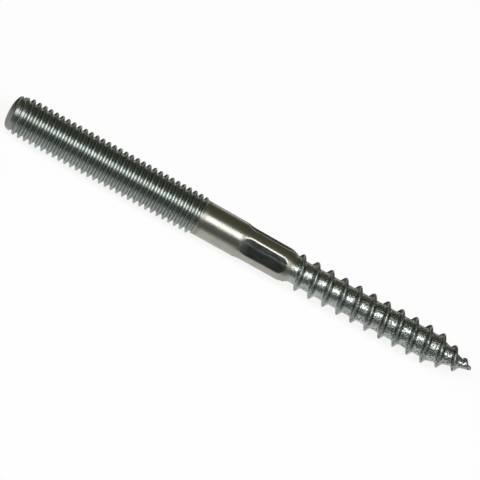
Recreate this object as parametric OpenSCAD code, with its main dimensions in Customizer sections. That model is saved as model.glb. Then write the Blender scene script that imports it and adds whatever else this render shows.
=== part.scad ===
// Hanger bolt: a headless fixing with a machine thread on one end, a plain shank with four pressed
// drive flats in the middle, and a coarse wood-screw thread with a gimlet point on the other end.
// It is one piece of zinc-plated steel. Millimetres. The bolt lies along +X, point to +X, on z = 0.

/* [Machine thread] */
// Diameter over the crests
thread_d = 7.9; // [6:0.05:10]
// Diameter at the bottom of the thread
thread_root_d = 6.45; // [5:0.05:7]
// Distance from one crest to the next
thread_pitch = 1.25; // [1:0.05:1.5]
// Length from the end face to the shank
thread_length = 41.4; // [20:0.2:80]
// Turns over which the last groove runs out into the shank
thread_runout_turns = 1; // [0.5:0.25:2]
// Turn of the thread about the axis, in degrees
thread_turn = 60; // [0:15:345]

/* [Machine end] */
// Diameter of the flat in the middle of the end face
end_flat_d = 0.8; // [0.4:0.1:5]
// Length over which the end is rounded, from that flat to the lead-in
end_round_length = 1.05; // [0.4:0.05:2]
// Length of the lead-in, where the crests grow to full height
lead_in_length = 2.1; // [1.5:0.1:6]
// Diameter where the lead-in starts
lead_in_d = 6.8; // [5.5:0.1:7]

/* [Shank] */
// Diameter of the plain shank at the machine thread
shank_d = 7.1; // [6.8:0.05:9]
// Diameter of the plain shank at its shoulder
shank_end_d = 6.9; // [6.6:0.05:9]
// Length from the machine thread to the wood thread
shank_length = 20.2; // [14:0.2:40]
// Length of the rounded shoulder at the shank's wood end
shoulder_length = 2.8; // [0.8:0.1:4]

/* [Drive flats] */
// Distance across two opposite flats
flats_across = 6.1; // [5.6:0.05:6.7]
// Length of each flat, from its ramp to the wood thread
flats_length = 9.15; // [5:0.05:10]
// Length of the ramp on the machine side
flats_ramp = 2.75; // [0.5:0.05:3.5]
// How far each flat rises over the length of the shoulder
flats_rise = 0.28; // [0:0.02:0.6]
// Number of flats round the shank
flats_count = 4; // [4, 6]
// Turn of the flats about the axis, in degrees
flats_turn = 45; // [0:5:85]

/* [Wood thread] */
// Core diameter where the wood thread leaves the shank
core_d = 5.05; // [4.5:0.05:5.6]
// Core diameter where the point begins
core_point_d = 5.35; // [4.5:0.05:6]
// Height of the ridge over the core
ridge_height = 0.98; // [0.6:0.02:1.4]
// Width of the ridge's rounded crest
ridge_crest_width = 0.4; // [0.1:0.02:0.6]
// Angle between the two flanks of the ridge
ridge_angle = 60; // [50:1:70]
// Distance from one crest to the next
ridge_pitch = 3.05; // [2.6:0.05:4]
// Length from the shank to the tip of the point
wood_length = 38.4; // [25:0.1:80]
// Turn of the ridge about the axis, in degrees
ridge_turn = 345; // [0:15:345]

/* [Point] */
// Length of the cone
point_length = 8.2; // [5:0.1:14]
// Diameter of the blunt tip
tip_d = 0.8; // [0.4:0.1:1.4]
// Distance from the end of the ridge to the tip
ridge_stop = 1.3; // [1.2:0.1:4]

/* [Hidden] */

// Straight sides in one turn of a thread. The threads turn by whole sides, so a side and not a corner
// faces the surface that the bolt lies on.
sides = 24;
zinc = [0.66, 0.68, 0.66];

// Half the angle of a metric thread
thread_half_angle = 30;
// How far one solid reaches into the next where they are joined
overlap = 0.06;
// How far a cutter stands past what it cuts
clear = 1;
// The flat's ramp and the shoulder are curves: their drop goes with a power of the share of their length.
ramp_power = 3.2;
ramp_shares = [0, 0.45, 0.65, 0.8, 0.92, 1.06];
shoulder_power = 1.4;
shoulder_shares = [0, 0.25, 0.5, 0.75, 1];

overall_length = thread_length + shank_length + wood_length;
shank_r = shank_d / 2;
shank_end_r = shank_end_d / 2;
shank_end = thread_length + shank_length;
point_start = overall_length - point_length;
lie_height = thread_d / 2 * cos(180 / sides);

// A ridge's breakpoints along one pitch, as shares of the pitch: the foot of the first flank, the two
// corners of the crest, and the foot of the second flank. A level of 0 is the root and 1 is the crest.
RIDGE_LEVELS = [0, 1, 1, 0];
function ridge_marks(pitch, crest, flank) = [0, flank, flank + crest, 2 * flank + crest] / pitch;

thread_flank = (thread_d - thread_root_d) / 2 * tan(thread_half_angle);
thread_crest = thread_pitch / 5;
ridge_flank = ridge_height * tan(ridge_angle / 2);
// Where the true cone starts that closes the point. The last turn of the wood thread sinks into it.
cone_start = overall_length - ridge_pitch - ridge_stop;

// A value that goes from 0 to 1 as z goes from a to b, and stays there
function rise(z, a, b) = min(1, max(0, (z - a) / (b - a)));
function mix(a, b, share) = a + (b - a) * share;

// Radius of the machine thread. It sinks just under the shank's surface where the groove runs out.
machine_radius = function(z, level)
    let (
        runout = thread_runout_turns * thread_pitch,
        sunk = rise(z, thread_length - runout, thread_length),
        full = mix(thread_root_d, thread_d, level) / 2
    )
    mix(full, shank_r - overlap, sunk);

// Radius of the wood thread's core: a slight taper along its length, then the cone of the point
function core_radius(z) =
    z < point_start
        ? mix(core_d, core_point_d, rise(z, shank_end, point_start)) / 2
        : mix(core_point_d, tip_d, rise(z, point_start, overall_length)) / 2;

// Radius of the wood thread. The ridge grows out of the shank's shoulder, and dies away on the point, where
// the core sinks just under the cone.
wood_radius = function(z, level)
    let (
        grown = rise(z, shank_end - 0.4 * ridge_pitch, shank_end),
        left = 1 - pow(rise(z, overall_length - 2 * ridge_stop, overall_length - tip_d), 2),
        sunk = rise(z, cone_start, overall_length - tip_d)
    )
    core_radius(z) - 4 * overlap * sunk + level * ridge_height * min(grown, left);

// A closed solid with a helical skin. Ring q holds the breakpoints of one pitch, and each ring is one
// side further round and up than the ring before it.
module helical_solid(pitch, first_z, turns, turn, marks, radius) {
    n = len(marks);
    last = ceil(turns * sides);
    function z_at(q, m) = first_z + pitch * (q / sides + marks[m]);
    function id(q, m) = q * n + m;
    function skin_point(q, m) =
        let (z = z_at(q, m), a = turn + 360 * (q + 0.5) / sides, r = radius(z, RIDGE_LEVELS[m]))
        [r * cos(a), r * sin(a), z];
    foot = n * (last + 1);
    top = foot + 1;
    points = [
        for (q = [0 : last]) for (m = [0 : n - 1]) skin_point(q, m),
        [0, 0, z_at(0, 0) + pitch / 2],
        [0, 0, z_at(last, n - 1) - pitch / 2]
    ];
    flanks = [
        for (q = [0 : last - 1]) for (m = [0 : n - 2])
            each [[id(q, m), id(q, m + 1), id(q + 1, m + 1)], [id(q, m), id(q + 1, m + 1), id(q + 1, m)]]
    ];
    roots = [
        for (q = [0 : last - sides - 1]) let (a = id(q, n - 1), b = id(q + sides, 0))
            each [[a, b, b + n], [a, b + n, a + n]]
    ];
    foot_loop = [for (q = [0 : sides]) id(q, 0), for (m = [n - 1 : -1 : 1]) id(0, m)];
    top_loop = [for (q = [last : -1 : last - sides]) id(q, n - 1), for (m = [0 : n - 2]) id(last, m)];
    function fan(loop, hub) = [
        for (i = [0 : len(loop) - 1]) [loop[i], loop[(i + 1) % len(loop)], hub]
    ];
    polyhedron(points, concat(flanks, roots, fan(foot_loop, foot), fan(top_loop, top)), convexity = 4);
}

// The outline that trims the end of the machine thread: a rounded end and a conical lead-in
module machine_end_envelope() {
    flat_r = end_flat_d / 2;
    edge_r = lead_in_d / 2;
    slope = (thread_d / 2 - edge_r) / lead_in_length;
    blank_r = thread_d / 2 + clear;
    blank_end = thread_length + 4 * thread_pitch + clear;
    rotate_extrude($fn = 96) polygon([
        [0, 0],
        for (a = [0 : 15 : 90]) [mix(flat_r, edge_r, sin(a)), end_round_length * (1 - cos(a))],
        [blank_r, end_round_length + (blank_r - edge_r) / slope],
        [blank_r, blank_end],
        [0, blank_end]
    ]);
}

module machine_thread() {
    marks = ridge_marks(thread_pitch, thread_crest, thread_flank);
    intersection() {
        helical_solid(thread_pitch, -2 * thread_pitch, thread_length / thread_pitch + 3.5, thread_turn,
            marks, machine_radius);
        machine_end_envelope();
    }
}

// The cutter of one drive flat. Its ramp is steep at the shank's surface and runs gently into the flat, as
// a pressing die leaves it. At the wood end the flat rises a little and runs out through the shoulder.
module flat_cutter() {
    low = flats_across / 2;
    start = shank_end - flats_length;
    steps = [for (i = [len(ramp_shares) - 1 : -1 : 0]) ramp_shares[i]];
    outline = [
        for (share = steps) [start - flats_ramp * share, mix(low, shank_r, pow(share, ramp_power))],
        [shank_end - shoulder_length, low],
        [shank_end, low + flats_rise],
        [shank_end, shank_r + clear],
        [start - flats_ramp - clear, shank_r + clear]
    ];
    rotate([0, -90, 0]) linear_extrude(shank_d, center = true) polygon(outline);
}

// The plain shank, with a rounded shoulder that ends just under the core of the wood thread
module shank() {
    bevel = (shank_d - thread_root_d) / 2;
    drop = shank_end_r - core_d / 2 + overlap;
    difference() {
        rotate_extrude($fn = 96) polygon([
            [0, thread_length - bevel],
            [shank_r - bevel, thread_length - bevel],
            [shank_r, thread_length],
            for (share = shoulder_shares)
                [shank_end_r - drop * pow(share, shoulder_power), shank_end + shoulder_length * (share - 1)],
            [0, shank_end]
        ]);
        for (i = [0 : flats_count - 1])
            rotate([0, 0, flats_turn + 360 * i / flats_count]) flat_cutter();
    }
}

module wood_thread() {
    marks = ridge_marks(ridge_pitch, ridge_crest_width, ridge_flank);
    buried = 1.5 * ridge_pitch;
    run = buried + wood_length - ridge_stop - ridge_flank - ridge_crest_width / 2;
    helical_solid(ridge_pitch, shank_end - buried, run / ridge_pitch, ridge_turn, marks, wood_radius);
}

// The cone of the point, with its rounded tip
module point() {
    tip_r = tip_d / 2;
    rotate_extrude($fn = 96) polygon([
        [0, cone_start],
        [core_radius(cone_start) - overlap, cone_start],
        if (cone_start < point_start) [core_point_d / 2 - overlap, point_start],
        [tip_r, overall_length - tip_r],
        [0, overall_length - tip_r]
    ]);
    translate([0, 0, overall_length - tip_r]) sphere(r = tip_r, $fn = 96);
}

module hanger_bolt() {
    color(zinc)
        translate([-overall_length / 2, 0, lie_height]) rotate([0, 90, 0]) {
            machine_thread();
            shank();
            wood_thread();
            point();
        }
}

hanger_bolt();
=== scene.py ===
"""Hanger bolt: the visual model of a zinc-plated hanger bolt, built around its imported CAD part."""

import math

import bmesh
import bpy
from bpy.props import FloatProperty, FloatVectorProperty, IntProperty, PointerProperty
from mathutils import Matrix, Vector


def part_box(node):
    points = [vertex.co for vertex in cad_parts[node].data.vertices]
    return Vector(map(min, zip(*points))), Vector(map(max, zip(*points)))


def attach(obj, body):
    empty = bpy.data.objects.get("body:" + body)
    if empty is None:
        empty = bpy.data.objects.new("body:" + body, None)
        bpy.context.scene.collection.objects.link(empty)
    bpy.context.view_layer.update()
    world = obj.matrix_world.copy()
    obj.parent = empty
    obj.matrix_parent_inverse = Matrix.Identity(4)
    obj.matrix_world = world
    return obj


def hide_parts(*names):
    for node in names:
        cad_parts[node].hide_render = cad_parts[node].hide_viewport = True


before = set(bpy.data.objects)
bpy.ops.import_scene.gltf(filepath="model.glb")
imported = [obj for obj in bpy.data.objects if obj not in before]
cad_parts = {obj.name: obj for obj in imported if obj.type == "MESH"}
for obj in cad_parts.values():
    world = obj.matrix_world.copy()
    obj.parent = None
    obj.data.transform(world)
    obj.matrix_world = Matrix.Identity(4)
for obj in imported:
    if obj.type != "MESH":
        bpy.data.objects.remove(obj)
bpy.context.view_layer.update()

bl_info = {
    "name": "Hanger Bolt",
    "version": (1, 0, 0),
    "blender": (4, 5, 0),
    "location": "View3D > Sidebar > Hanger Bolt",
    "description": "Builds a zinc-plated hanger bolt and the stage it lies on",
    "category": "Add Mesh",
}

CAD_NODE = "hanger_bolt"
MM = 0.001
MERGE_DISTANCE = 2e-6
PICTURE_PIXELS = 480
SENSOR_WIDTH = 36.0
NEAREST_SEEN = 0.01
FARTHEST_SEEN = 100.0

# Values kept on the mesh's vertices, which the zinc's material reads
LAYERS = ("groove", "rolled", "coarse", "ridge", "pressed", "rub_and_sheen", "dull_and_shade")

# The flats' ramp and the shoulder drop with a power of the share of their length, as in the CAD part.
RAMP_POWER = 3.2
SHOULDER_POWER = 1.4

# Share of the rounded end that is turned as a cap, before the thread's skin begins, and the cap's rows
CAP_SHARE = 0.6
CAP_ROWS = 12

# A thread's skin starts this many pitches below the crest that places it.
EARLY_TURNS = 1.5

# The wood thread's ridge grows out of the shoulder over this share of a pitch. Its flanks start thinner
# by a share of its height, and are whole this many pitches past the shank.
RIDGE_GROWTH = 0.4
RIDGE_THIN = 0.4
RIDGE_WHOLE = 0.55

# Columns of faces within this angle of a flat's edge are drawn to it, the nearest ones to this share of
# their distance. The pull fades out over a length before the ridge.
EDGE_REACH = 0.12
EDGE_PULL = 0.3
EDGE_FADE = 1.0 * MM

# How dull the zinc is on the run-out and on the first turns of the machine thread, and how strong the
# painted shade is at the flats' ends. The rounded end is wholly darker and rougher up to the first share
# of its length, and clear from the second.
RUNOUT_DULL = 0.5
LEAD_IN_DULL = 0.3
LEAD_IN_TURNS = 5.0
DIE_END_SHADE = 0.8
END_DARKENING = (0.3, 0.85)

# The painted shade at the flats' ends fades between two shares of a flat's half angle. On the shoulder it
# is longer, and a part of it goes all round.
RAMP_SHADE_SIDES = (0.8, 1.05)
SHOULDER_SHADE_SIDES = (0.8, 1.2)
SHOULDER_SHADE_LENGTH = 1.5
SHOULDER_SHADE_FADE = 0.7

# How bright a flat is: rubbed by the dies all over and on its ramp, with a painted sheen on one side and
# on a line along it. Places across the flat are shares of half its width.
WORN_ALL = 0.14
SHEEN_SIDE = 0.3
SHEEN_SIDE_AT = -0.35
SHEEN_LINE = 0.8
SHEEN_LINE_AT = -0.34
SHEEN_LINE_WIDTH = 0.13
WORN_RAMP = 0.7
# How far the flats' tint has set in where their ramp starts
RAMP_PRESSED = 0.35

# Strength of the wood thread's specks on its first turns and further on, and the turns between them
SPECKLE_STRENGTH = (0.6, 1.4)
SPECKLE_TURNS = (3.0, 6.0)

# One pitch of each thread as (share of the pitch, level): level 0 is the root and level 1 is the crest.
MACHINE_PROFILE = (
    (0.0, 0.0), (0.06, 0.01), (0.12, 0.12), (0.21, 0.46), (0.31, 0.82), (0.375, 0.96), (0.44, 1.0),
    (0.5, 1.0), (0.56, 1.0), (0.625, 0.96), (0.69, 0.82), (0.79, 0.46), (0.88, 0.12), (0.94, 0.01),
    (1.0, 0.0),
)
WOOD_PROFILE = (
    (0.0, 0.0), (0.12, 0.0), (0.2, 0.0), (0.245, 0.03), (0.29, 0.14), (0.345, 0.42), (0.4, 0.72),
    (0.437, 0.89), (0.468, 0.97), (0.5, 1.0), (0.532, 0.97), (0.563, 0.89), (0.6, 0.72), (0.655, 0.42),
    (0.71, 0.14), (0.755, 0.03), (0.8, 0.0), (0.88, 0.0), (1.0, 0.0),
)

# How bright the metal sees the floor, as (distance behind the bolt's axis in metres, brightness). It is
# painted shade on the mirrored floor: dim far away, in front and behind, and a painted shadow close
# behind the bolt.
FLOOR_MIRRORED_PAINTED_SHADE = (
    (-0.045, 0.35), (-0.012, 1.0), (0.002, 1.0), (0.005, 0.04), (0.0125, 0.04), (0.018, 1.0), (0.03, 1.0),
    (0.07, 0.5),
)
# Share of the floor's look that glows plain white. The rest is paint, which keeps the shadow.
FLOOR_GLOW = 0.87
# The room's front tint gives way to its back tint as a direction's y goes from minus this to this.
ROOM_BLEND = 0.5

# Noise masks, as (name, features per metre, detail, stretch, value that becomes 0, value that becomes 1)
COAT_MASKS = (
    ("Clouds", 420.0, 3.0, (1.0, 1.0, 1.0), 0.35, 0.65),
    ("Grain", 2600.0, 4.0, (1.0, 1.0, 1.0), 0.25, 0.75),
    ("Speckle", 2900.0, 3.0, (1.0, 1.0, 1.0), 0.5, 0.62),
)
RUB_MASKS = (
    ("Lines", 2400.0, 3.0, (0.06, 1.0, 1.0), 0.3, 0.7),
    ("Scuffs", 1500.0, 5.0, (0.3, 1.0, 1.0), 0.35, 0.65),
)
NOISE_ROUGHNESS = 0.6

# How much stain the clouds and the specks leave, and how much wear shows between the scuffs and in them
CLOUD_STAIN = 0.13
SPECK_STAIN = 0.85
SCUFF_LEAST = 0.4
SCUFF_MORE = 1.2

# What the clouds and the parts of the bolt add to the plating's roughness
CLOUD_ROUGHNESS = 0.06
ROUGHNESS_SHIFTS = (("pressed", -0.12), ("coarse", -0.05), ("dull_and_shade", 0.2), ("ridge", 0.12))

# Fine relief of the plating: shares of the grain, the drawing lines and the specks, and the bump's inputs
GRAIN_RELIEF = 0.25
LINE_RELIEF = 0.3
SPECK_RELIEF = 2.2
RELIEF = {"Strength": 0.35, "Distance": 0.04 * MM}


def length(name, description, millimetres):
    """A length property. Its default is given in millimetres and kept in metres."""
    return FloatProperty(
        name=name, description=description, default=millimetres * MM, min=0.0, unit="LENGTH", precision=5
    )


def colour(name, description, rgb):
    """A colour property."""
    return FloatVectorProperty(
        name=name, description=description, default=rgb, size=3, min=0.0, max=1.0, subtype="COLOR"
    )


def angle(name, description, degrees):
    """An angle property. Its default is given in degrees and kept in radians."""
    return FloatProperty(
        name=name, description=description, default=math.radians(degrees), subtype="ANGLE"
    )


def factor(name, description, value):
    """A property between 0 and 1."""
    return FloatProperty(
        name=name, description=description, default=value, min=0.0, max=1.0, subtype="FACTOR"
    )


class HangerBoltSizes(bpy.types.PropertyGroup):
    """The bolt's sizes, the same as the CAD part's, and the fine marks that only this model has."""

    columns: IntProperty(
        name="Columns", description="Faces in one turn round the axis", default=108, min=24
    )
    thread_d: length("Thread diameter", "Diameter over the crests of the machine thread", 7.9)
    thread_root_d: length("Thread root", "Diameter at the bottom of the machine thread", 6.45)
    thread_pitch: length("Thread pitch", "Distance between two crests of the machine thread", 1.25)
    thread_length: length("Thread length", "From the end face to the shank", 41.4)
    thread_runout: length("Thread run-out", "Length over which the last groove runs out", 1.0)
    runout_mark: length("Run-out mark", "Dull length that the thread's run-out leaves on the shank", 0.7)
    thread_crest_at: length("Thread crest", "Height of the first crest on the start line", 0.31)
    end_flat_d: length("End flat", "Diameter of the flat in the middle of the end face", 0.8)
    end_round: length("End round", "Length over which the end is rounded", 1.05)
    lead_in_d: length("Lead-in diameter", "Diameter where the lead-in starts", 6.8)
    lead_in_length: length("Lead-in length", "Length over which the crests grow", 2.1)
    shank_d: length("Shank diameter", "Diameter of the plain shank at the machine thread", 7.1)
    shank_end_d: length("Shank end", "Diameter of the plain shank at its shoulder", 6.9)
    shank_length: length("Shank length", "From the machine thread to the wood thread", 20.2)
    shoulder_length: length("Shoulder", "Length of the rounded shoulder at its wood end", 2.8)
    shank_row: length("Shank row", "Length of one row of faces along the shank", 0.16)
    flats_across: length("Across flats", "Distance across two opposite drive flats", 6.1)
    flats_length: length("Flat length", "Length of a drive flat, from its ramp to the wood thread", 9.15)
    flats_ramp: length("Flat ramp", "Length of the flat's ramp on the machine side", 2.75)
    flats_rise: length("Flat rise", "How far a flat rises over the length of the shoulder", 0.28)
    flats_edge: length("Flat edge", "How much the edges of the flats are rounded", 0.045)
    flats_crown: length("Flat crown", "How far the middle of a flat stands over its edges", 0.035)
    # The painted shade at each end of the flats is this long.
    die_end_shade_length: length("Die mark", "Dull length that each end of the pressing die leaves on the shank", 0.7)
    flats_turn: angle("Flats turn", "Turn of the drive flats about the axis", 45.0)
    flats_count: IntProperty(name="Flats", description="Number of drive flats", default=4, min=2)
    core_d: length("Core diameter", "Core of the wood thread at the shank", 5.05)
    core_point_d: length("Core at the point", "Core of the wood thread where the point begins", 5.35)
    ridge_height: length("Ridge height", "Height of the wood thread over its core", 0.98)
    ridge_pitch: length("Ridge pitch", "Distance between two crests of the wood thread", 3.05)
    ridge_crest_at: length("Ridge crest", "Height of one crest on the start line", 60.904)
    wood_length: length("Wood length", "From the shank to the tip of the point", 38.4)
    point_length: length("Point length", "Length of the cone", 8.2)
    tip_d: length("Tip diameter", "Diameter of the blunt tip", 0.8)
    ridge_stop: length("Ridge stop", "From the end of the ridge to the tip", 1.3)


class HangerBoltFinish(bpy.types.PropertyGroup):
    """Colours and finish of the zinc plating."""

    shank_tint: colour("Shank", "Zinc on the plain shank", (0.365, 0.365, 0.325))
    thread_tint: colour("Threads", "Zinc on the rolled threads", (0.276, 0.308, 0.294))
    # Painted light: the grooves and the wood core are tinted lighter than the crests.
    groove_painted_light_tint: colour("Grooves", "Zinc in the grooves and on the wood core", (0.385, 0.42, 0.397))
    flat_tint: colour("Flats", "Zinc on the pressed flats", (0.05, 0.06, 0.058))
    # This tint also paints a sheen on one side of each flat and along a line.
    rub_and_sheen_tint: colour("Worn", "Bright metal where the pressing die rubbed a flat", (0.6, 0.61, 0.57))
    # Painted shade: the wood thread's ridge is tinted darker than its core.
    ridge_painted_shade_tint: colour("Ridge", "Zinc on the ridge of the wood thread", (0.3, 0.33, 0.305))
    # This tint darkens the rounded end, the run-out and the first turns, and paints shade at the flats'
    # ends.
    dull_and_shade_tint: colour("End", "Zinc on the rounded end", (0.18, 0.17, 0.14))
    stain_tint: colour("Stains", "Dull film and specks on the zinc", (0.07, 0.08, 0.072))
    edge_tint: colour("Edge", "Share of light mirrored at a glancing angle", (0.92, 0.92, 0.87))
    roughness: factor("Roughness", "Roughness of the clean plating", 0.23)


class HangerBoltStage(bpy.types.PropertyGroup):
    """Floor, light and camera."""

    floor_tint: colour("Floor", "Colour of the floor", (0.92, 0.92, 0.92))
    floor_size: FloatProperty(
        name="Floor size", description="Side of the floor", default=6.0, min=1.0, unit="LENGTH"
    )
    front_tint: colour("Front", "Room on the camera's side", (0.165, 0.17, 0.165))
    back_tint: colour("Back", "Room behind the bolt", (0.125, 0.12, 0.08))
    softbox_power: FloatProperty(
        name="Softbox", description="Power of the softbox", default=10.9, min=0.0, unit="POWER"
    )
    softbox_length: length("Softbox length", "Length of the softbox along the bolt", 2600.0)
    softbox_width: length("Softbox width", "Width of the softbox", 370.0)
    softbox_distance: length("Softbox distance", "From the softbox to the bolt", 700.0)
    softbox_elevation: angle("Softbox elevation", "Height of the softbox over the floor", 70.6)
    camera_azimuth: angle("Azimuth", "Turn of the camera round the bolt", -9.0)
    camera_elevation: angle("Elevation", "Height of the camera over the floor", 54.6)
    camera_distance: FloatProperty(
        name="Distance", description="From the camera to the bolt", default=2.5, min=0.05, unit="LENGTH"
    )
    picture_slope: angle("Slope", "Angle at which the bolt lies in the picture", 29.39)
    pixels_per_mm: FloatProperty(
        name="Pixels per mm", description="Scale of the picture at the middle of the bolt", default=5.313
    )
    aim_below: length("Aim below", "How far below the bolt's axis the camera aims", 0.13)
    aim_back: length("Aim back", "How far the camera aims from the bolt's middle to its machine end", 0.1)


def rise(value, start, end):
    """Goes from 0 to 1 as value goes from start to end, and stays there."""
    return min(1.0, max(0.0, (value - start) / (end - start)))


def peak(value, middle, reach):
    """1 where value is at the middle, falling to 0 at a reach to each side."""
    return max(0.0, 1.0 - abs(value - middle) / reach)


def mix(a, b, share):
    """Goes from a to b as share goes from 0 to 1."""
    return a + (b - a) * share


def eased(share):
    """A share that starts and stops gently."""
    return share * share * (3.0 - 2.0 * share)


def soft_min(a, b, width):
    """The smaller of two values, rounded where they cross."""
    near = max(width - abs(a - b), 0.0)
    return min(a, b) - near * near / (4.0 * width)


def shank_end(size):
    """Height along the bolt where the shank ends and the wood thread begins."""
    return size.thread_length + size.shank_length


def overall_length(size):
    """Length of the whole bolt."""
    return shank_end(size) + size.wood_length


def add_profile(bm, points):
    """A line of vertices at (radius, 0, height), joined by edges."""
    verts = [bm.verts.new((radius, 0.0, height)) for radius, height in points]
    edges = [bm.edges.new(pair) for pair in zip(verts, verts[1:])]
    return verts + edges


def add_helical_skin(bm, profile, root_r, crest_r, pitch, start, turns, columns):
    """One turn of a thread is spun along its helix, then copied up the axis turn by turn."""
    points = [(mix(root_r, crest_r, level), start + pitch * share) for share, level in profile]
    line = add_profile(bm, points)
    before = set(bm.faces)
    bmesh.ops.spin(
        bm, geom=line, cent=(0, 0, 0), axis=(0, 0, 1), dvec=(0, 0, pitch / columns),
        angle=2.0 * math.pi, steps=columns, use_merge=False, use_duplicate=False,
    )
    turn = [face for face in bm.faces if face not in before]
    whole = {vert for face in turn for vert in face.verts}
    for index in range(1, turns):
        copied = bmesh.ops.duplicate(bm, geom=turn)["geom"]
        verts = [item for item in copied if isinstance(item, bmesh.types.BMVert)]
        bmesh.ops.translate(bm, verts=verts, vec=(0, 0, pitch * index))
        whole.update(verts)
    return whole


def add_lathe(bm, points, columns):
    """A profile of (radius, height) turned once about the axis."""
    before = set(bm.verts)
    line = add_profile(bm, points)
    bmesh.ops.spin(
        bm, geom=line, cent=(0, 0, 0), axis=(0, 0, 1), angle=2.0 * math.pi, steps=columns,
        use_merge=True, use_duplicate=False,
    )
    return [vert for vert in bm.verts if vert not in before]


def place(vert, radius, height):
    """Moves a vertex to a radius and a height, on its own side of the axis."""
    flat = Vector((vert.co.x, vert.co.y))
    flat = flat.normalized() * radius if flat.length > 0.0 else flat
    vert.co = (flat.x, flat.y, height)


def end_radius(size, z):
    """Radius of the outline that trims the machine end: a rounded end, then a conical lead-in."""
    flat_r = size.end_flat_d / 2.0
    edge_r = size.lead_in_d / 2.0
    if z < size.end_round:
        return mix(flat_r, edge_r, math.sqrt(1.0 - (1.0 - z / size.end_round) ** 2))
    return edge_r + (size.thread_d / 2.0 - edge_r) * (z - size.end_round) / size.lead_in_length


def end_darkening(size, z):
    """Darker, rougher zinc on the rounded end, and a little on the first turns of the machine thread."""
    on_end = 1.0 - rise(z, END_DARKENING[0] * size.end_round, END_DARKENING[1] * size.end_round)
    on_turns = 1.0 - rise(z, size.end_round, LEAD_IN_TURNS * size.thread_pitch)
    return max(on_end, LEAD_IN_DULL * on_turns)


def machine_thread(bm, size, layers):
    """Helical skin of the machine thread, from the rounded end to its run-out on the shank."""
    root_r = size.thread_root_d / 2.0
    crest_r = size.thread_d / 2.0
    pitch = size.thread_pitch
    start = size.thread_crest_at - pitch * EARLY_TURNS
    turns = math.ceil((size.thread_length - start) / pitch) + 1
    columns = size.columns
    for vert in add_helical_skin(bm, MACHINE_PROFILE, root_r, crest_r, pitch, start, turns, columns):
        full = Vector((vert.co.x, vert.co.y)).length
        level = rise(full, root_r, crest_r)
        z = min(max(vert.co.z, size.end_round * CAP_SHARE), size.thread_length)
        sunk = rise(z, size.thread_length - size.thread_runout, size.thread_length)
        radius = mix(full, size.shank_d / 2.0, eased(sunk))
        place(vert, min(radius, end_radius(size, z)), z)
        past_end = rise(z, size.end_round, size.end_round + pitch)
        vert[layers["groove"]] = (1.0 - level) * (1.0 - sunk) * past_end
        vert[layers["rolled"]] = 1.0 - sunk
        vert[layers["dull_and_shade"]] = max(end_darkening(size, z), RUNOUT_DULL * sunk * sunk)


def end_cap(bm, size, layers):
    """The rounded end face, turned about the axis up to where the thread's skin begins."""
    full = math.acos(1.0 - CAP_SHARE)
    angles = [full * row / CAP_ROWS for row in range(CAP_ROWS + 1)]
    heights = [size.end_round * (1.0 - math.cos(item)) for item in angles]
    for vert in add_lathe(bm, [(0.0, 0.0)] + [(end_radius(size, z), z) for z in heights], size.columns):
        vert[layers["rolled"]] = 1.0
        vert[layers["dull_and_shade"]] = end_darkening(size, vert.co.z)


def shank_radius(size, z):
    """Radius of the plain shank: a slight taper, then the rounded shoulder down to the core."""
    end = shank_end(size)
    shoulder = end - size.shoulder_length
    if z < shoulder:
        return mix(size.shank_d, size.shank_end_d, rise(z, size.thread_length, shoulder)) / 2.0
    return mix(size.shank_end_d, size.core_d, rise(z, shoulder, end) ** SHOULDER_POWER) / 2.0


def ridge_start(size):
    """Height on the shoulder where the wood thread's ridge begins to grow."""
    return shank_end(size) - RIDGE_GROWTH * size.ridge_pitch


def flat_height(size, z):
    """Distance from the axis to the pressing die's face, at a height along the bolt."""
    end = shank_end(size)
    depth = (size.shank_d - size.flats_across) / 2.0
    ramp = max(0.0, (end - size.flats_length - z) / size.flats_ramp)
    lift = rise(z, end - size.shoulder_length, end)
    return size.flats_across / 2.0 + depth * ramp**RAMP_POWER + size.flats_rise * lift


def flat_edge(size):
    """Angle from the middle of a flat to its edge."""
    return math.acos(size.flats_across / size.shank_end_d)


def off_flat(size, vert):
    """Angle from the middle of the nearest flat to a vertex."""
    step = 2.0 * math.pi / size.flats_count
    turn = math.atan2(vert.co.y, vert.co.x) - math.pi / 2.0 - size.flats_turn
    return (turn + step / 2.0) % step - step / 2.0


def gather_columns(size, vert, share):
    """Draws a vertex round the axis to the edge of the nearest flat, so that the edge is crisp."""
    off = off_flat(size, vert)
    gap = abs(off) - flat_edge(size)
    if abs(gap) < EDGE_REACH:
        kept = mix(EDGE_PULL, 1.0, (gap / EDGE_REACH) ** 2)
        gap_left = gap * mix(1.0, kept, share)
        turn = math.copysign(gap_left - gap, off)
        vert.co = Matrix.Rotation(turn, 3, "Z") @ vert.co


def die_end_painted_shade(size, vert, z):
    """How strong the painted shade is at the two ends of the flats, on their ramp and on the shoulder."""
    ramp = shank_end(size) - size.flats_length - size.flats_ramp + size.die_end_shade_length / 2.0
    shoulder = shank_end(size) - size.shoulder_length / 2.0
    across = abs(off_flat(size, vert)) / flat_edge(size)
    at_ramp = peak(z, ramp, size.die_end_shade_length)
    at_ramp *= 1.0 - rise(across, *RAMP_SHADE_SIDES)
    at_shoulder = peak(z, shoulder, SHOULDER_SHADE_LENGTH * size.die_end_shade_length)
    at_shoulder *= 1.0 - SHOULDER_SHADE_FADE * rise(across, *SHOULDER_SHADE_SIDES)
    return DIE_END_SHADE * max(at_ramp, at_shoulder)


def rub_and_sheen_share(share, on_ramp):
    """Rub and painted sheen on a flat, at a share of half its width from its middle."""
    # Painted sheen: a lighter band on one side of the flat and a lighter line along it.
    side = SHEEN_SIDE * rise(share, 0.0, SHEEN_SIDE_AT)
    line = SHEEN_LINE * peak(share, SHEEN_LINE_AT, SHEEN_LINE_WIDTH)
    return max(WORN_ALL + side + line, WORN_RAMP * (1.0 - on_ramp))


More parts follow.
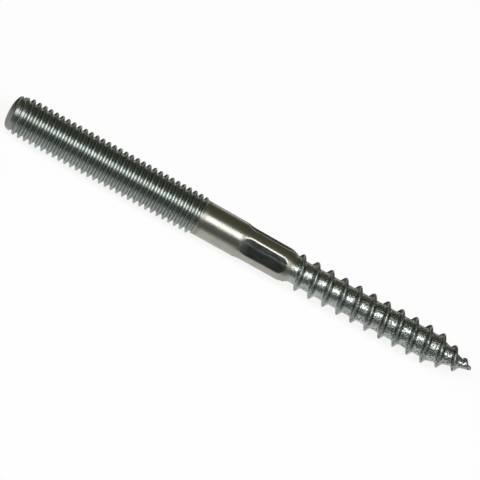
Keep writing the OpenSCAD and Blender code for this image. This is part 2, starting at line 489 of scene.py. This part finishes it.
def shank(bm, size, layers):
    """The plain shank, turned about the axis, with the drive flats pressed into it."""
    bottom = size.thread_length
    top = ridge_start(size)
    rows = math.ceil((top - bottom) / size.shank_row)
    heights = [mix(bottom, top, row / rows) for row in range(rows + 1)]
    ramp_end = shank_end(size) - size.flats_length
    ramp_start = ramp_end - size.flats_ramp
    for vert in add_lathe(bm, [(shank_radius(size, z), z) for z in heights], size.columns):
        z = vert.co.z
        mark = 1.0 - rise(z, bottom + size.runout_mark / 2.0, bottom + size.runout_mark)
        # This layer darkens the run-out and paints shade at the flats' ends.
        vert[layers["dull_and_shade"]] = max(RUNOUT_DULL * mark, die_end_painted_shade(size, vert, z))
        if min(z - bottom, top - z) < MERGE_DISTANCE:
            continue
        radius = shank_radius(size, z)
        on_ramp = rise(z, ramp_start, ramp_end)
        near_flats = rise(z, ramp_start - size.flats_ramp, ramp_start)
        gather_columns(size, vert, min(near_flats, rise(z, top, top - EDGE_FADE)))
        off = off_flat(size, vert)
        share = math.tan(off) / math.tan(flat_edge(size))
        face_r = (flat_height(size, z) + size.flats_crown * (1.0 - share * share)) / math.cos(off)
        cut_in = rise(radius - face_r, 0.0, size.flats_edge)
        vert[layers["pressed"]] = cut_in * mix(RAMP_PRESSED, 1.0, on_ramp)
        # Painted sheen on the flats rides with the rub in this layer.
        vert[layers["rub_and_sheen"]] = rub_and_sheen_share(share, on_ramp)
        place(vert, soft_min(radius, face_r, size.flats_edge), z)


def wood_core(size, z):
    """Radius of the wood thread's core: the shoulder, a long slight taper, the cone and the round tip."""
    tip_r = size.tip_d / 2.0
    end = shank_end(size)
    tip = overall_length(size)
    point = tip - size.point_length
    if z < end:
        return shank_radius(size, z)
    if z < point:
        return mix(size.core_d, size.core_point_d, rise(z, end, point)) / 2.0
    if z < tip - tip_r:
        return mix(size.core_point_d, size.tip_d, rise(z, point, tip - tip_r)) / 2.0
    return math.sqrt(max(0.0, tip_r**2 - (z - tip + tip_r) ** 2))


def wood_thread(bm, size, layers):
    """Helical skin of the wood thread, from the shank's shoulder to the tip of the point."""
    core_r = size.core_d / 2.0
    pitch = size.ridge_pitch
    bottom = ridge_start(size)
    tip = overall_length(size)
    start = size.ridge_crest_at - pitch * EARLY_TURNS
    turns = math.ceil((tip - start) / pitch) + 1
    crest_r = core_r + size.ridge_height
    columns = size.columns
    for vert in add_helical_skin(bm, WOOD_PROFILE, core_r, crest_r, pitch, start, turns, columns):
        level = rise(Vector((vert.co.x, vert.co.y)).length, core_r, crest_r)
        z = min(max(vert.co.z, bottom), tip)
        grown = eased(rise(z, bottom, shank_end(size)))
        left = 1.0 - rise(z, tip - 2.0 * size.ridge_stop, tip - size.tip_d) ** 2
        thin = RIDGE_THIN * (1.0 - rise(z, bottom, shank_end(size) + pitch * RIDGE_WHOLE))
        shape = max(0.0, level - thin) / (1.0 - thin)
        place(vert, wood_core(size, z) + shape * size.ridge_height * min(grown, left), z)
        vert[layers["groove"]] = (1.0 - level) * grown
        vert[layers["rolled"]] = grown
        turns_in = (z - shank_end(size)) / pitch
        vert[layers["coarse"]] = grown * mix(*SPECKLE_STRENGTH, rise(turns_in, *SPECKLE_TURNS))
        vert[layers["ridge"]] = shape * grown
        # Painted shade where the flats end on the shoulder.
        vert[layers["dull_and_shade"]] = die_end_painted_shade(size, vert, z)


def bolt_mesh(size):
    """One closed mesh of the whole bolt, laid along +X on the floor as the CAD part is."""
    bm = bmesh.new()
    layers = {name: bm.verts.layers.float.new(name) for name in LAYERS}
    end_cap(bm, size, layers)
    machine_thread(bm, size, layers)
    shank(bm, size, layers)
    wood_thread(bm, size, layers)
    bmesh.ops.remove_doubles(bm, verts=bm.verts[:], dist=MERGE_DISTANCE)
    bmesh.ops.dissolve_degenerate(bm, edges=bm.edges[:], dist=MERGE_DISTANCE / 2.0)
    bmesh.ops.recalc_face_normals(bm, faces=bm.faces[:])
    low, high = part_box(CAD_NODE)
    axis_height = (low[2] + high[2]) / 2.0
    lay = Matrix.Translation((low[0], 0.0, axis_height)) @ Matrix.Rotation(math.pi / 2.0, 4, "Y")
    bmesh.ops.transform(bm, matrix=lay, verts=bm.verts[:])
    for face in bm.faces:
        face.smooth = True
    open_edges = sum(1 for edge in bm.edges if not edge.is_manifold)
    mesh = bpy.data.meshes.new("hanger_bolt_zinc")
    bm.to_mesh(mesh)
    bm.free()
    if open_edges:
        raise RuntimeError(f"the bolt's mesh has {open_edges} edges that aren't closed")
    return mesh


def add_node(tree, kind, values=None, **settings):
    """A node with its settings, and with plain values on some of its inputs."""
    node = tree.nodes.new(kind)
    for name, value in settings.items():
        setattr(node, name, value)
    for name, value in (values or {}).items():
        node.inputs[name].default_value = value
    return node


def noise(tree, vector, scale, detail, stretch):
    """Noise on a stretched copy of the vector. Scale is in features per metre."""
    mapping = add_node(tree, "ShaderNodeMapping", {"Scale": stretch})
    tree.links.new(vector, mapping.inputs["Vector"])
    values = {"Scale": scale, "Detail": detail, "Roughness": NOISE_ROUGHNESS}
    texture = add_node(tree, "ShaderNodeTexNoise", values)
    tree.links.new(mapping.outputs["Vector"], texture.inputs["Vector"])
    return texture.outputs["Fac"]


def spread(tree, value, low, high):
    """Maps low..high to 0..1."""
    node = add_node(tree, "ShaderNodeMapRange", {"From Min": low, "From Max": high})
    tree.links.new(value, node.inputs["Value"])
    return node.outputs["Result"]


def maths(tree, operation, a, b):
    """One operation on two values, each a socket or a plain number."""
    node = add_node(tree, "ShaderNodeMath", operation=operation)
    for socket, value in zip(node.inputs, (a, b)):
        if isinstance(value, (int, float)):
            socket.default_value = value
        else:
            tree.links.new(value, socket)
    return node.outputs["Value"]


def add_scaled(tree, total, value, weight):
    """A total, with a weighted value added to it."""
    return maths(tree, "ADD", total, maths(tree, "MULTIPLY", value, weight))


def blend_colours(tree, share, a, b):
    """Goes from colour a to colour b with a share. Each is a socket or a plain colour."""
    node = add_node(tree, "ShaderNodeMix", data_type="RGBA")
    sockets = [item for item in node.inputs if item.type == "RGBA"]
    for socket, value in zip(sockets, (a, b)):
        if isinstance(value, bpy.types.NodeSocket):
            tree.links.new(value, socket)
        else:
            socket.default_value = (*value, 1.0)
    tree.links.new(share, node.inputs["Factor"])
    return next(item for item in node.outputs if item.type == "RGBA")


def mask_group(name, masks):
    """A shader node group that puts out one noise mask for each row of a table of masks."""
    tree = bpy.data.node_groups.new(name, "ShaderNodeTree")
    tree.interface.new_socket("Vector", in_out="INPUT", socket_type="NodeSocketVector")
    for row in masks:
        tree.interface.new_socket(row[0], in_out="OUTPUT", socket_type="NodeSocketFloat")
    vector = tree.nodes.new("NodeGroupInput").outputs["Vector"]
    out = tree.nodes.new("NodeGroupOutput")
    for label, scale, detail, stretch, low, high in masks:
        mask = spread(tree, noise(tree, vector, scale, detail, stretch), low, high)
        tree.links.new(mask, out.inputs[label])
    return tree


def mesh_value(tree, name):
    """Value of one of the mesh's layers."""
    return add_node(tree, "ShaderNodeAttribute", attribute_name=name).outputs["Fac"]


def zinc_material(finish):
    """Bright zinc plating: each part's own tint, a fine grain, a specked wood thread and scuffed flats."""
    material = bpy.data.materials.new("bright_zinc")
    material.use_nodes = True
    tree = material.node_tree
    shader = tree.nodes["Principled BSDF"]
    shader.inputs["Metallic"].default_value = 1.0
    shader.inputs["Specular Tint"].default_value = (*finish.edge_tint, 1.0)
    position = add_node(tree, "ShaderNodeTexCoord").outputs["Object"]
    coat = add_node(tree, "ShaderNodeGroup", node_tree=mask_group("zinc_coat", COAT_MASKS))
    rub = add_node(tree, "ShaderNodeGroup", node_tree=mask_group("rub_marks", RUB_MASKS))
    for group in (coat, rub):
        tree.links.new(position, group.inputs["Vector"])
    clouds, grain, speckle = (coat.outputs[name] for name in ("Clouds", "Grain", "Speckle"))
    lines, scuffs = (rub.outputs[name] for name in ("Lines", "Scuffs"))
    part = {name: mesh_value(tree, name) for name in LAYERS}
    specks = maths(tree, "MULTIPLY", part["coarse"], speckle)
    tint = blend_colours(tree, part["rolled"], finish.shank_tint, finish.thread_tint)
    # Painted light lightens the grooves and the wood core, and painted shade darkens the wood thread's
    # ridge.
    tint = blend_colours(tree, part["groove"], tint, finish.groove_painted_light_tint)
    tint = blend_colours(tree, part["ridge"], tint, finish.ridge_painted_shade_tint)
    # Darker tint on the rounded end, the run-out and the first turns, and painted shade at the flats' ends.
    tint = blend_colours(tree, part["dull_and_shade"], tint, finish.dull_and_shade_tint)
    # The flats' rub carries a painted sheen on one side and along a line.
    rubbed = maths(tree, "MULTIPLY", part["rub_and_sheen"], add_scaled(tree, SCUFF_LEAST, scuffs, SCUFF_MORE))
    flat = blend_colours(tree, rubbed, finish.flat_tint, finish.rub_and_sheen_tint)
    tint = blend_colours(tree, part["pressed"], tint, flat)
    for marks, strength in ((specks, SPECK_STAIN), (clouds, CLOUD_STAIN)):
        tint = blend_colours(tree, maths(tree, "MULTIPLY", marks, strength), tint, finish.stain_tint)
    tree.links.new(tint, shader.inputs["Base Color"])
    rough = add_scaled(tree, finish.roughness, clouds, CLOUD_ROUGHNESS)
    for name, shift in ROUGHNESS_SHIFTS:
        rough = add_scaled(tree, rough, part[name], shift)
    tree.links.new(rough, shader.inputs["Roughness"])
    height = maths(tree, "MULTIPLY", part["pressed"], scuffs)
    for relief, weight in ((grain, GRAIN_RELIEF), (lines, LINE_RELIEF), (specks, SPECK_RELIEF)):
        height = add_scaled(tree, height, relief, weight)
    bump = add_node(tree, "ShaderNodeBump", RELIEF)
    tree.links.new(height, bump.inputs["Height"])
    tree.links.new(bump.outputs["Normal"], shader.inputs["Normal"])
    return material


def floor_material(stage):
    """A floor that is nearly white with a soft shadow, and that the metal mirrors as pale bands and painted
    shade.
    """
    material = bpy.data.materials.new("pale_floor")
    material.use_nodes = True
    tree = material.node_tree
    tree.nodes.clear()
    out = add_node(tree, "ShaderNodeOutputMaterial")
    paint = add_node(tree, "ShaderNodeBsdfDiffuse", {"Color": (*stage.floor_tint, 1.0)})
    glow = add_node(tree, "ShaderNodeEmission", {"Color": (1.0, 1.0, 1.0, 1.0)})
    path = add_node(tree, "ShaderNodeLightPath")
    seen = maths(tree, "MAXIMUM", path.outputs["Is Camera Ray"], path.outputs["Is Transmission Ray"])
    mirrored = path.outputs["Is Glossy Ray"]
    share = maths(tree, "MAXIMUM", maths(tree, "MULTIPLY", seen, FLOOR_GLOW), mirrored)
    spot = add_node(tree, "ShaderNodeSeparateXYZ")
    tree.links.new(add_node(tree, "ShaderNodeNewGeometry").outputs["Position"], spot.inputs["Vector"])
    first, last = FLOOR_MIRRORED_PAINTED_SHADE[0][0], FLOOR_MIRRORED_PAINTED_SHADE[-1][0]
    ramp = add_node(tree, "ShaderNodeValToRGB")
    tree.links.new(spread(tree, spot.outputs["Y"], first, last), ramp.inputs["Fac"])
    stops = ramp.color_ramp.elements
    while len(stops) < len(FLOOR_MIRRORED_PAINTED_SHADE):
        stops.new(1.0)
    for stop, (place_y, value) in zip(stops, FLOOR_MIRRORED_PAINTED_SHADE):
        stop.position = (place_y - first) / (last - first)
        stop.color = (value, value, value, 1.0)
    # Glossy rays see the glow lowered by the ramp: painted shade and shadow in the floor's reflection.
    dim = maths(tree, "MULTIPLY", mirrored, maths(tree, "SUBTRACT", 1.0, ramp.outputs["Color"]))
    tree.links.new(maths(tree, "SUBTRACT", 1.0, dim), glow.inputs["Strength"])
    blend = add_node(tree, "ShaderNodeMixShader")
    tree.links.new(share, blend.inputs["Fac"])
    tree.links.new(paint.outputs["BSDF"], blend.inputs[1])
    tree.links.new(glow.outputs["Emission"], blend.inputs[2])
    tree.links.new(blend.outputs["Shader"], out.inputs["Surface"])
    return material


def room_light(stage):
    """The dim room round the stage: neutral on the camera's side and warmer behind the bolt."""
    world = bpy.data.worlds.new("studio_room")
    bpy.context.scene.world = world
    world.use_nodes = True
    tree = world.node_tree
    direction = add_node(tree, "ShaderNodeTexCoord").outputs["Generated"]
    parts = add_node(tree, "ShaderNodeSeparateXYZ")
    tree.links.new(direction, parts.inputs["Vector"])
    share = spread(tree, parts.outputs["Y"], -ROOM_BLEND, ROOM_BLEND)
    tint = blend_colours(tree, share, stage.front_tint, stage.back_tint)
    tree.links.new(tint, tree.nodes["Background"].inputs["Color"])


def softbox(stage, middle):
    """A long softbox over the camera, whose reflection is the white line along the bolt."""
    lamp = bpy.data.lights.new("softbox", "AREA")
    lamp.shape = "RECTANGLE"
    lamp.size = stage.softbox_length
    lamp.size_y = stage.softbox_width
    lamp.energy = stage.softbox_power
    rig = bpy.data.objects.new("softbox", lamp)
    bpy.context.collection.objects.link(rig)
    lift = stage.softbox_elevation
    away = Vector((0.0, -math.cos(lift), math.sin(lift)))
    rig.location = middle + away * stage.softbox_distance
    rig.rotation_euler = away.to_track_quat("Z", "Y").to_euler()


def add_camera(stage, middle):
    """A long-lens camera, turned so that the bolt lies across the picture as it should."""
    turn = stage.camera_azimuth
    lift = stage.camera_elevation
    back = Vector((math.sin(turn) * math.cos(lift), -math.cos(turn) * math.cos(lift), math.sin(lift)))
    along = Vector((1.0, 0.0, 0.0))
    along = (along - back * along.dot(back)).normalized()
    across = back.cross(along)
    slope = stage.picture_slope
    right = along * math.cos(slope) + across * math.sin(slope)
    up = across * math.cos(slope) - along * math.sin(slope)
    data = bpy.data.cameras.new("camera")
    data.sensor_width = SENSOR_WIDTH
    data.lens = stage.pixels_per_mm / MM * stage.camera_distance * data.sensor_width / PICTURE_PIXELS
    data.clip_start = NEAREST_SEEN
    data.clip_end = FARTHEST_SEEN
    camera = bpy.data.objects.new("camera", data)
    bpy.context.collection.objects.link(camera)
    turned = Matrix((right, up, back)).transposed().to_4x4()
    eye = middle - along * stage.aim_back - across * stage.aim_below + back * stage.camera_distance
    camera.matrix_world = Matrix.Translation(eye) @ turned
    bpy.context.scene.camera = camera


class HANGERBOLT_OT_bolt(bpy.types.Operator):
    """Builds the bolt's fine mesh and its zinc finish, in place of the CAD solid"""

    bl_idname = "hangerbolt.bolt"
    bl_label = "Build Bolt"

    def execute(self, context):
        scene = context.scene
        bolt = bpy.data.objects.new("bolt", bolt_mesh(scene.hanger_bolt_sizes))
        context.collection.objects.link(bolt)
        bolt.data.materials.append(zinc_material(scene.hanger_bolt_finish))
        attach(bolt, "root")
        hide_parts(CAD_NODE)
        return {"FINISHED"}


class HANGERBOLT_OT_stage(bpy.types.Operator):
    """Builds the floor, the light and the camera"""

    bl_idname = "hangerbolt.stage"
    bl_label = "Build Stage"

    def execute(self, context):
        stage = context.scene.hanger_bolt_stage
        context.scene.view_settings.view_transform = "Standard"
        bm = bmesh.new()
        bmesh.ops.create_grid(bm, x_segments=1, y_segments=1, size=stage.floor_size / 2.0)
        mesh = bpy.data.meshes.new("floor")
        bm.to_mesh(mesh)
        bm.free()
        floor = bpy.data.objects.new("floor", mesh)
        context.collection.objects.link(floor)
        floor.data.materials.append(floor_material(stage))
        low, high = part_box(CAD_NODE)
        middle = Vector([(a + b) / 2.0 for a, b in zip(low, high)])
        room_light(stage)
        softbox(stage, middle)
        add_camera(stage, middle)
        return {"FINISHED"}


class HANGERBOLT_PT_panel(bpy.types.Panel):
    """Lists the operators and their settings"""

    bl_idname = "HANGERBOLT_PT_panel"
    bl_label = "Hanger Bolt"
    bl_space_type = "VIEW_3D"
    bl_region_type = "UI"
    bl_category = "Hanger Bolt"

    def draw(self, context):
        scene = context.scene
        for operator in (HANGERBOLT_OT_bolt, HANGERBOLT_OT_stage):
            self.layout.operator(operator.bl_idname)
        for group in (scene.hanger_bolt_sizes, scene.hanger_bolt_finish, scene.hanger_bolt_stage):
            box = self.layout.box()
            for name in group.__annotations__:
                box.prop(group, name)


CLASSES = (
    HangerBoltSizes,
    HangerBoltFinish,
    HangerBoltStage,
    HANGERBOLT_OT_bolt,
    HANGERBOLT_OT_stage,
    HANGERBOLT_PT_panel,
)


def register():
    """Registers the classes and hangs their settings on the scene."""
    for item in CLASSES:
        bpy.utils.register_class(item)
    bpy.types.Scene.hanger_bolt_sizes = PointerProperty(type=HangerBoltSizes)
    bpy.types.Scene.hanger_bolt_finish = PointerProperty(type=HangerBoltFinish)
    bpy.types.Scene.hanger_bolt_stage = PointerProperty(type=HangerBoltStage)


def unregister():
    """Takes back what register did."""
    del bpy.types.Scene.hanger_bolt_stage
    del bpy.types.Scene.hanger_bolt_finish
    del bpy.types.Scene.hanger_bolt_sizes
    for item in reversed(CLASSES):
        bpy.utils.unregister_class(item)


def main():
    """Builds the bolt and the stage."""
    register()
    bpy.ops.hangerbolt.bolt()
    bpy.ops.hangerbolt.stage()


if __name__ == "__main__":
    main()
